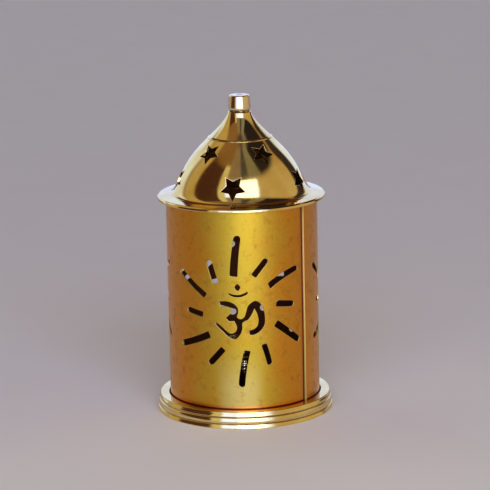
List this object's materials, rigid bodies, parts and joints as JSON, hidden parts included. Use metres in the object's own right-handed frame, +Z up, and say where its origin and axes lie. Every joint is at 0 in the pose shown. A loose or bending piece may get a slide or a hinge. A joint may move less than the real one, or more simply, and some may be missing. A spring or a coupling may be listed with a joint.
{
  "type": "incense burner",
  "caption": "Round brass incense burner: stepped base with a cup holder, pierced rolled-sheet sleeve with sun rays round a sacred sign, star-pierced domed lid with a knob.",
  "frame": {"origin": "on the burner's axis, at the underside of the base's resting ring", "axes": "+Z up along the burner's axis, -Y towards the front, where one sun faces the viewer, +X to the viewer's right"},
  "size_m": [0.0762, 0.0762, 0.1362],
  "materials": {
    "polished_brass": "turned and mirror polished, fine turning lines",
    "satin_brass": "lacquered golden satin sheet, faintly smudged",
    "plain_brass": "plain machined, slightly dull"
  },
  "bodies": {
    "base": {"base_dish": "polished_brass", "holder_stem": "polished_brass", "holder_cup": "polished_brass", "holder_washer": "plain_brass", "holder_screw": "plain_brass"},
    "shell": {"sleeve": "satin_brass"},
    "lid": {"lid_dome": "polished_brass", "lid_neck": "polished_brass", "lid_knob": "polished_brass", "knob_washer": "plain_brass", "knob_screw": "plain_brass"}
  },
  "joints": [
    {"name": "sleeve_lift", "type": "slide", "parent": "base", "child": "shell", "axis": [0, 0, 1], "range_m": [0, 0.06]},
    {"name": "lid_lift", "type": "slide", "parent": "shell", "child": "lid", "axis": [0, 0, 1], "range_m": [0, 0.045]}
  ]
}
